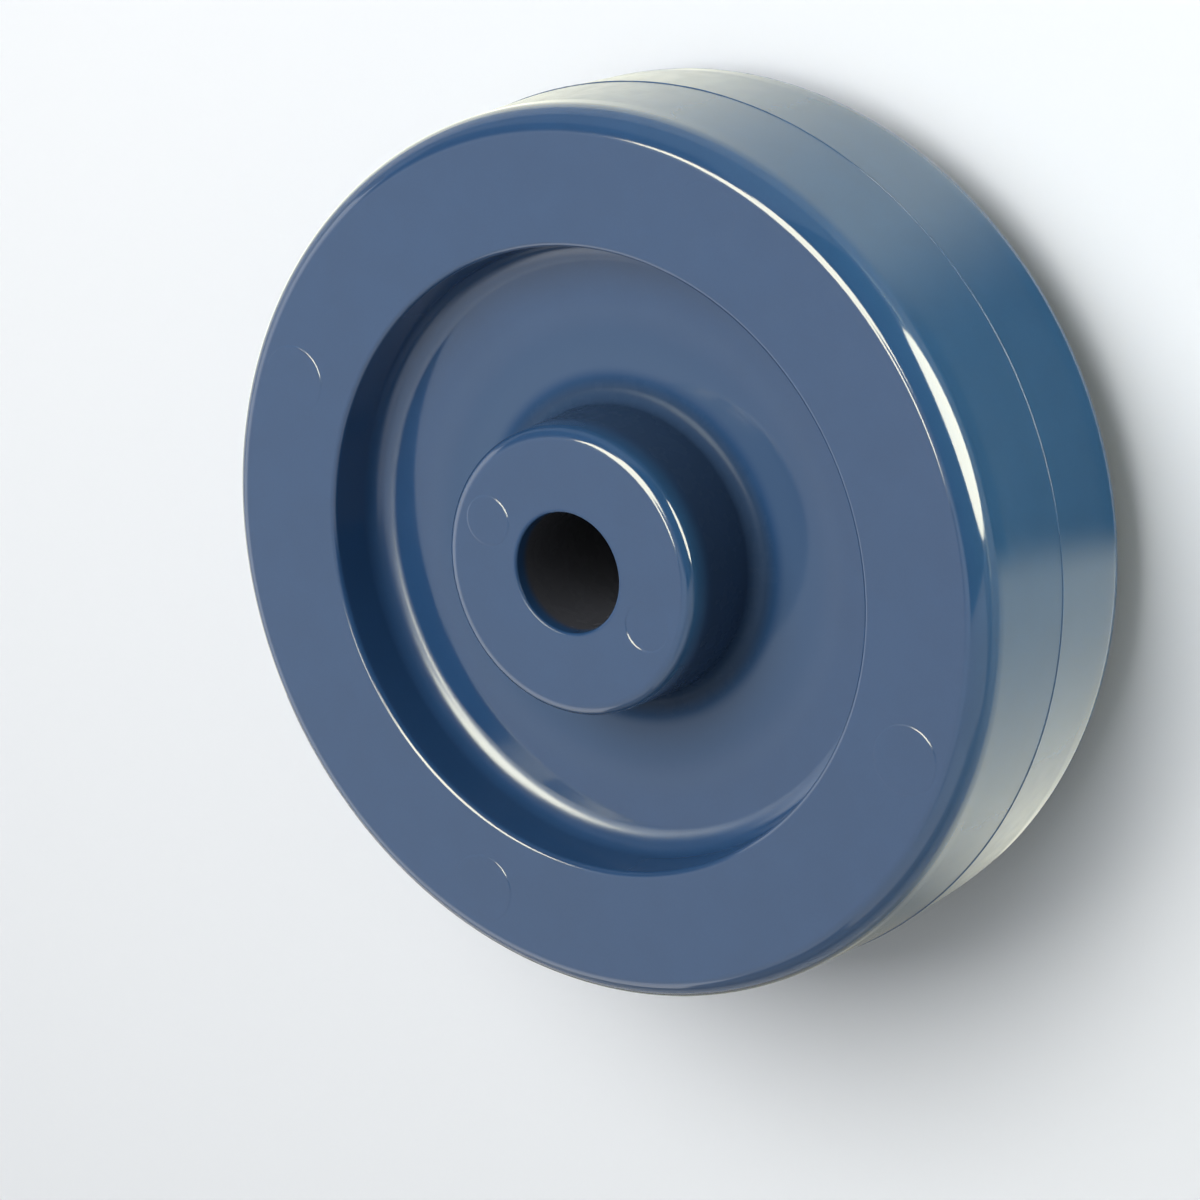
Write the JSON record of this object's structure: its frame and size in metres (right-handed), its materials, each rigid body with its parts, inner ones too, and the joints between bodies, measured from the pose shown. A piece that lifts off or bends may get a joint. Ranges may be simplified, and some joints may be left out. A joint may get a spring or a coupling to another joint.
{
  "type": "polyurethane wheel",
  "caption": "Solid moulded polyurethane wheel with a plain axle bore, a hub proud of its recessed sides, rounded shoulders and a fine parting line round the tread.",
  "frame": {"origin": "centre of the wheel, on the axle line and midway between the two sides", "axes": "+Z along the axle, so the wheel lies on the end of its hub; +X and +Y radial"},
  "size_m": [0.1502, 0.1502, 0.058],
  "materials": {
    "polyurethane": "smooth moulded gloss, blue"
  },
  "bodies": {
    "root": {"wheel": "polyurethane"}
  },
  "joints": []
}
